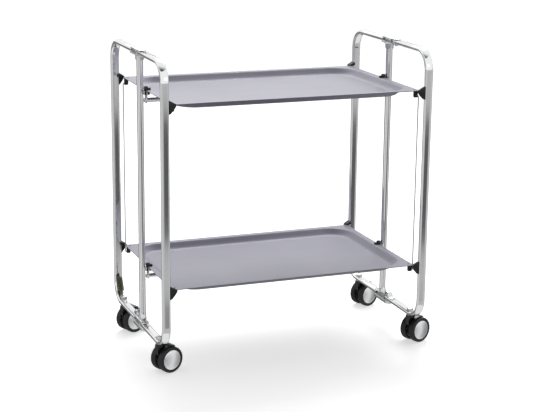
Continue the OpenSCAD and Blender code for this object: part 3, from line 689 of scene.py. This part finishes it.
def pivot_clip():
    """The hub about the tray pin, the head over the rim and the finger that presses on the tray;
    the tray's end is at x = 17."""
    hub = turned([(3.05, 14), (5.6, 14), (6.3, 14.5), (6.5, 15.2), (6.5, 24.8), (6.0, 25.8), (3.05, 26),
                  (3.05, 14)], 36, "X")
    head = plate([(-5, -4), (5, -4), (5, 4.4), (4.4, 6.6), (3.0, 8.2), (1.2, 8.9), (-1.2, 8.9), (-3.0, 8.2),
                  (-4.4, 6.6), (-5, 4.4)], 14, 21.8, "YZ", 1.0, 3)
    finger = plate([(19, -2.9), (24.5, -2.6)] + arc((25.6, 0), 3.5, -90, 90, 10) + [(24.5, 2.6), (19, 2.9)],
                   0.05, 4.9, edge=1.1, segments=3)
    return joined(moved(hub, 0, 0, -PIN_DROP), head, finger)


def rod_clip():
    """A tongue under the rim that holds a link rod, with a button head on the rim; X is out to the
    tray's end."""
    outline = [(-4.3, -1.5), (4.3, -1.5), (4.3, -4.0), (3.4, -7.2), (3.2, -12.0), (3.9, -15.2), (2.8, -17.2),
               (0.6, -17.9), (-2.2, -17.6), (-4.0, -16.0), (-4.3, -12.4), (-3.9, -7.0)]
    half = 4.5
    tongue = plate(outline, -half, half, "YZ", 1.2, 3)
    button = turned([(0, 0), (2.6, 0), (2.6, 0.25), (2.1, 0.65), (1.0, 0.8), (0, 0.8)], 24)
    return joined(moved(tongue, TRAY_X - 0.8 - half, ROD_Y, 0), moved(button, TRAY_X - 9, ROD_Y, 0))


bar_pattern, saddle_pattern, plate_pattern = cross_tube(), saddle(), end_plate()
clip_pattern, tongue_pattern = pivot_clip(), rod_clip()
for tray, rim in RIMS.items():
    body = tray + "_tray_body"
    bar_node = tray + "_cross_bar"
    lift = Matrix.Translation((0, 0, rim))
    bar_place = lift @ Matrix.Translation((0, 0, -BAR_DROP))
    fitted(copied(bar_pattern, bar_place), tray + "_cross_tube", body, CHROME, bar_node)
    for end, along in (("left", -1), ("right", 1)):
        name = f"{tray}_{end}"
        saddle_place = lift @ Matrix.Translation((along * SADDLE_X, 0, 0))
        plate_place = lift @ Matrix.Diagonal((along, 1, 1, 1))
        fitted(copied(saddle_pattern, saddle_place), name + "_saddle", body, BRACKET, bar_node)
        fitted(copied(plate_pattern, plate_place), name + "_end_plate", body, BRACKET, bar_node)
        fitted(copied(clip_pattern, lift @ at_end(along)), name + "_pivot_clip", body, BLACK,
               tray + "_pivot_clips")
        for side, across in (("front", -1), ("rear", 1)):
            turn = Matrix.Diagonal((along, across, 1, 1))
            fitted(copied(tongue_pattern, lift @ turn), f"{tray}_{side}_{end}_rod_clip", body, BLACK,
                   tray + "_rod_clips")
cleared(bar_pattern, saddle_pattern, plate_pattern, clip_pattern, tongue_pattern)


# Link rods

for corner in ("rear_left", "front_right"):
    along, across = SIDES[corner]
    out, side = along * ROD_X, across * ROD_Y
    inner = out - along * 10.8
    top, foot = RIMS["upper"] - ROD_DROP, RIMS["lower"] - ROD_DROP
    path = filleted([(inner, side, top), (out, side, top), (out, side, foot), (inner, side, foot)], 2.2)
    fitted(wire(path, 1.25, 4), corner + "_rod", corner + "_rod_body", ROD, corner + "_link_rod")


# Latch strip and spring

def latch():
    """The strip along the left foot, with its eye on the caster's bolt, its raised tail and its cross pin."""
    thick = 3
    eye = arc((0, 0), 8, 216.9, -36.9, 28)
    strip = plate(eye + [(-5.2, -36), (-5, -42), (-5, -190), (-11, -190), (-11, -42), (-10.6, -36)],
                  0, thick, edge=0.7, segments=3)
    tail = plate([(2, 0.05), (8.4, 0.05), (10.4, 0.9), (16, 5.6), (16, 8.8), (14.6, 8.6), (9.2, 4.0),
                  (7.4, 2.95), (2, 2.95)], -4, 4, "YZ", 0.6)
    pin = turned([(0, -11.4), (2.2, -11.4), (2.9, -10.8), (3.0, -10.0), (3.0, 3.2), (2.5, 4.0), (0, 4.0)],
                 32, "X")
    return joined(strip, tail, moved(pin, 0, -191, thick / 2))


fitted(moved(latch(), -END_X, STEM_Y, STRIP_Z), "latch_bar", "latch_body", STEEL, "latch_strip")


def spring_path(wire_r):
    """The spring as one wire: a straight end in the leg, the curls, a straight link and a hook on the
    strip's tail."""
    top, foot = Vector((192.4, 136.0)), Vector((163.1, 88.9))
    down = (foot - top).normalized()
    side = Vector((-down.y, down.x))
    span = (foot - top).length
    coil_r = 13.5 / 2 - wire_r
    pitch, curls, start, points_a_curl = 2.6, 14.0, 8.0, 26
    hook_r, swerve_r = 4.0, 2.0

    def spot(along, flat=0.0, deep=0.0):
        """A place in the cart from a length along the spring and two distances from its middle."""
        place = top + down * along + side * flat
        return (-END_X + deep, place.x, place.y)

    path = [(-END_X, 196.8, top.y), (-END_X, 194.2, top.y), spot(1.8)]
    for k in range(int(curls * points_a_curl) + 1):
        turn = k / points_a_curl
        reach = coil_r * min(1.0, turn / 0.5, (curls - turn) / 0.5)
        angle = 2 * math.pi * turn
        path.append(spot(start + turn * pitch, reach * math.sin(angle), reach * math.cos(angle)))
    lead_in = math.sqrt(hook_r * hook_r + 2 * hook_r * swerve_r)
    lead = math.degrees(math.atan2(lead_in, swerve_r))
    for k in range(7):
        angle = math.radians(180 + lead * k / 6)
        path.append(spot(span - lead_in - swerve_r * math.sin(angle), swerve_r * (1 + math.cos(angle))))
    for k in range(1, 31):
        angle = math.radians(lead - 300 * k / 30)
        path.append(spot(span - hook_r * math.sin(angle), hook_r * math.cos(angle)))
    return path


spring_wire_r = 0.9
spring = wire(spring_path(spring_wire_r), spring_wire_r, 3)
fitted(spring, "return_spring", "rear_left_frame_body", SPRING, "latch_spring", smooth=60.0)


# Casters

def nut(low):
    """A hexagon nut with chamfered corners on a thin washer."""
    corners = [math.radians(60 * k + 12) for k in range(6)]
    hexagon = [(7.5 * math.cos(t), 7.5 * math.sin(t)) for t in corners]
    body = plate(hexagon, low + 0.7, low + 5.5, edge=0.7)
    washer = turned([(3.9, low), (7.6, low), (7.8, low + 0.2), (7.8, low + 0.6), (7.5, low + 0.8),
                     (3.9, low + 0.8), (3.9, low)], 36)
    return joined(body, washer)


def stem(latched):
    """The caster's bolt with its flange under the bar and its nut above; the latched one has a spacer
    in the strip's eye."""
    spacer_high, nut_and_tip_high = 6.5, 6.5
    nut_low = BAR_TOP + spacer_high if latched else BAR_TOP
    tip = nut_low + nut_and_tip_high
    bolt = [(0, 46), (3.4, 46), (4, 46.8), (4, 68.5), (7.6, 68.5), (8, 68.8), (8, 69.7), (7.7, 70), (4, 70)]
    for k in range(4):
        low = nut_low + 5.2 + 0.3 * k
        bolt += [(4, low), (3.75, low + 0.15)]
    pieces = [turned(bolt + [(3.4, tip - 0.1), (2.8, tip), (0, tip)], 32), nut(nut_low)]
    if latched:
        spacer = [(3.9, BAR_TOP), (5.0, BAR_TOP), (5.0, nut_low), (3.9, nut_low), (3.9, BAR_TOP)]
        pieces.append(turned(spacer, 32))
    return joined(*pieces)


def hood():
    """The hood: a round body between the wheels, a neck up to the stem and a fender over both wheels."""
    middle = (TRAIL, WHEEL_R)
    core = plate(arc(middle, 22, -222, 38, 44) + arc(middle, 33.2, 52, 72, 6)
                 + [(11, 66), (9.5, 68), (-8.4, 68), (-9.3, 64), (-9.3, 52), (-8.6, 46), (-5.4, 42)],
                 -5.25, 5.25, "XZ", 1.0, 3)
    collar = turned([(4.1, 62.2), (9.0, 62.2), (9.5, 62.7), (9.5, 67.4), (8.9, 68.2), (4.1, 68.2),
                     (4.1, 62.2)], 36)
    fender = plate(arc(middle, 31.8, 70, 122, 18) + arc(middle, 34.1, 122, 70, 18), -16.5, 16.5, "XZ", 0.8, 3)
    return joined(core, collar, fender)


def tyre():
    """The tyre: a flat tread with round shoulders and a fine groove beside the cap; Z points out of the
    caster."""
    half, edge = WHEEL_W / 2, 3.5
    shoulder = arc((WHEEL_R - edge, half - edge), edge, 0, 78, 8)
    outside = [(26.6, half - 0.15), (26.2, half - 0.55), (25.7, half - 0.55), (25.3, half - 0.2),
               (24.0, half - 0.5), (23.0, half - 1.2)]
    inside = [(23.0, 1 - half), (24.2, 0.5 - half)]
    under = [(r, -z) for r, z in reversed(shoulder)]
    return turned(shoulder + outside + inside + under + [shoulder[0]], 72)


def wheel():
    """The hub and its domed cap with a thin raised lip; Z points out of the caster."""
    half = WHEEL_W / 2
    face = half - 1.5
    cap_r, rise = 23.0, 3.5
    dome = (cap_r ** 2 + rise ** 2) / (2 * rise)
    crown = [(r, face + rise - dome + math.sqrt(dome ** 2 - r ** 2))
             for r in (21.2, 19, 16.5, 14, 11, 8, 5.5, 3, 1.2, 0)]
    hub = [(3.05, -half), (8.7, -half), (9.0, 0.3 - half), (9.0, 1 - half), (22.95, 1 - half)]
    lip = [(22.95, face - 0.1), (22.7, face + 0.45), (22.0, face + 0.6), (21.6, face + 0.35)]
    return turned(hub + lip + crown, 72)


tyre_pattern, wheel_pattern, hood_pattern = tyre(), wheel(), hood()
for corner, (_, across) in SIDES.items():
    place = at_stem(corner)
    bolt = stem(corner == "rear_left")
    bolt.data.transform(place)
    fitted(bolt, corner + "_bolt", corner + "_frame_body", STEEL, corner + "_caster_stem")
    fitted(copied(hood_pattern, place), corner + "_hood", corner + "_swivel_body", HOOD,
           corner + "_caster_hood")
    for side, out in (("inner", -1), ("outer", 1)):
        face = out * across
        turn = Matrix.Rotation(math.radians(-90 * face), 4, "X")
        spot = place @ Matrix.Translation((TRAIL, face * WHEEL_OFF, WHEEL_R)) @ turn
        name = f"{corner}_{side}"
        body = name + "_wheel_body"
        fitted(copied(tyre_pattern, spot), name + "_tread", body, RUBBER, name + "_tyre")
        fitted(copied(wheel_pattern, spot), name + "_cap", body, CAP, name + "_wheel")
cleared(tyre_pattern, wheel_pattern, hood_pattern)


# What stays as the frame made it

for name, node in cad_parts.items():
    if name.endswith("end_plugs"):
        coated(node, BLACK)
    if name.endswith("caster_axle"):
        coated(node, STEEL)


# Floor, light and camera

def studio_floor():
    """A wide pale floor that glows a little and that neither the shiny metal nor the shaded sides see."""
    put_down()
    bpy.ops.mesh.primitive_plane_add(size=60)
    floor = bpy.context.object
    floor.name = "studio_floor"
    finish = Finish("floor")
    cloud = finish.spots(0.6, 3.0)
    finish.surface({"Base Color": finish.mix(cloud, rgb(0.90, 0.90, 0.90), rgb(0.93, 0.93, 0.93)),
                    "Roughness": 0.7, "Specular IOR Level": 0.2, "Emission Color": rgb(1.0, 1.0, 1.0),
                    "Emission Strength": 0.60})
    floor.data.materials.append(finish.material)
    floor.visible_glossy = False
    floor.visible_diffuse = False


def studio_sky():
    """What lights the cart is bright overhead and behind and dim on the camera's side. The bright metal
    sees more: a bright wall in front too, and a pale floor with dark cards on it."""
    world = bpy.data.worlds.new("studio")
    bpy.context.scene.world = world
    world.use_nodes = True
    room = Finish("room", tree=world.node_tree)
    way = room.step("ShaderNodeTexCoord", out="Generated")
    split = room.tree.nodes.new("ShaderNodeSeparateXYZ")
    room.tree.links.new(way.socket, split.inputs[0])
    east, north, up = (Strand(room, split.outputs[k]) for k in range(3))

    def card(heading, half, soft, depth, top=0.0, foot=-40.0):
        """A dark card below the horizon; its heading, half width, soft edge, top and foot are in degrees."""
        t = math.radians(heading)
        level = room.reckoned("SQRT", 1.0001 - up * up)
        facing = room.reckoned("DIVIDE", east * math.cos(t) + north * math.sin(t), level)
        rim, core = math.radians(half + soft), math.radians(max(half - soft, 0.5))
        wide = room.clipped(facing, math.cos(rim), math.cos(core))
        high, low, blur = math.sin(math.radians(top)), math.sin(math.radians(foot)), 0.006
        tall = room.clipped(up, high + blur, high - blur) * room.clipped(up, low - blur, low + blur)
        return wide * tall * depth

    ceiling = room.clipped(north * 0.95 + east * 0.25 + up * 0.35, -0.12, 0.50)
    front_wall = room.clipped(up, 0.88, 0.83) * room.clipped(north, 0.1, -0.1)
    cards = card(69.4, 80, 12, 0.78)
    for placing in ((-69.4, 17, 5, 0.90, -10.5, -15.7), (-69.4, 17, 5, 0.80, -17.9, -19.4),
                    (-69.4, 26, 10, 0.40), (110, 50, 15, 0.50, 0.0, -89.0), (-106, 8, 4, 0.60),
                    (-150, 10, 5, 0.66), (-8, 12, 6, 0.60)):
        cards = room.reckoned("MAXIMUM", cards, card(*placing))
    above = room.clipped(up, -0.015, 0.015)
    pale, dim, glow, bounce = 0.86, 0.03, 0.68, 0.15
    seen = room.reckoned("MAXIMUM", ceiling, front_wall) * above + (pale - cards * pale) * (1 - above)
    felt = (dim + ceiling * glow) * above + bounce * (1 - above)
    ray = room.step("ShaderNodeLightPath", out="Is Glossy Ray")
    light = seen * ray + felt * (1 - ray)
    colour = room.mix(light, rgb(0.02, 0.02, 0.024), rgb(1.0, 1.0, 1.0))
    sky = room.step("ShaderNodeBackground", {}, {"Color": colour, "Strength": 1.0})
    room.step("ShaderNodeOutputWorld", {}, {"Surface": sky})


def softbox(name, place, target, size, power):
    """A large soft lamp, in metres and watts."""
    put_down()
    bpy.ops.object.light_add(type="AREA", location=place)
    lamp = bpy.context.object
    lamp.name = name
    lamp.data.shape = "RECTANGLE"
    lamp.data.size, lamp.data.size_y = size
    lamp.data.energy = power
    lamp.rotation_euler = (Vector(target) - Vector(place)).to_track_quat("-Z", "Y").to_euler()


def camera():
    """The camera at the photograph's place."""
    place = (-1.2300, -3.1534, 1.1800)
    yaw, pitch, roll = (math.radians(a) for a in (21.331, 14.165, 0.641))
    focal_pixels, picture_pixels, sensor = 1467.5, 550, 36
    ahead = Vector((math.sin(yaw) * math.cos(pitch), math.cos(yaw) * math.cos(pitch), -math.sin(pitch)))
    level = Vector((math.cos(yaw), -math.sin(yaw), 0))
    upright = level.cross(ahead)
    right = level * math.cos(roll) + upright * math.sin(roll)
    up = upright * math.cos(roll) - level * math.sin(roll)
    lens = bpy.data.cameras.new("photo camera")
    lens.sensor_width = sensor
    lens.lens = focal_pixels / picture_pixels * sensor
    stand = bpy.data.objects.new("photo camera", lens)
    turn = Matrix((right, up, -ahead)).transposed().to_4x4()
    stand.matrix_world = Matrix.Translation(place) @ turn
    bpy.context.scene.collection.objects.link(stand)
    bpy.context.scene.camera = stand


studio_floor()
studio_sky()
softbox("rear_light", place=(0.9, 2.2, 2.8), target=(0, 0, 0.4), size=(2.6, 1.6), power=62)
softbox("front_light", place=(1.2, -3.4, 1.9), target=(0, 0, 0.2), size=(1.6, 1.0), power=1.5)
camera()
bpy.context.scene.view_settings.view_transform = "Standard"
bpy.context.view_layer.update()
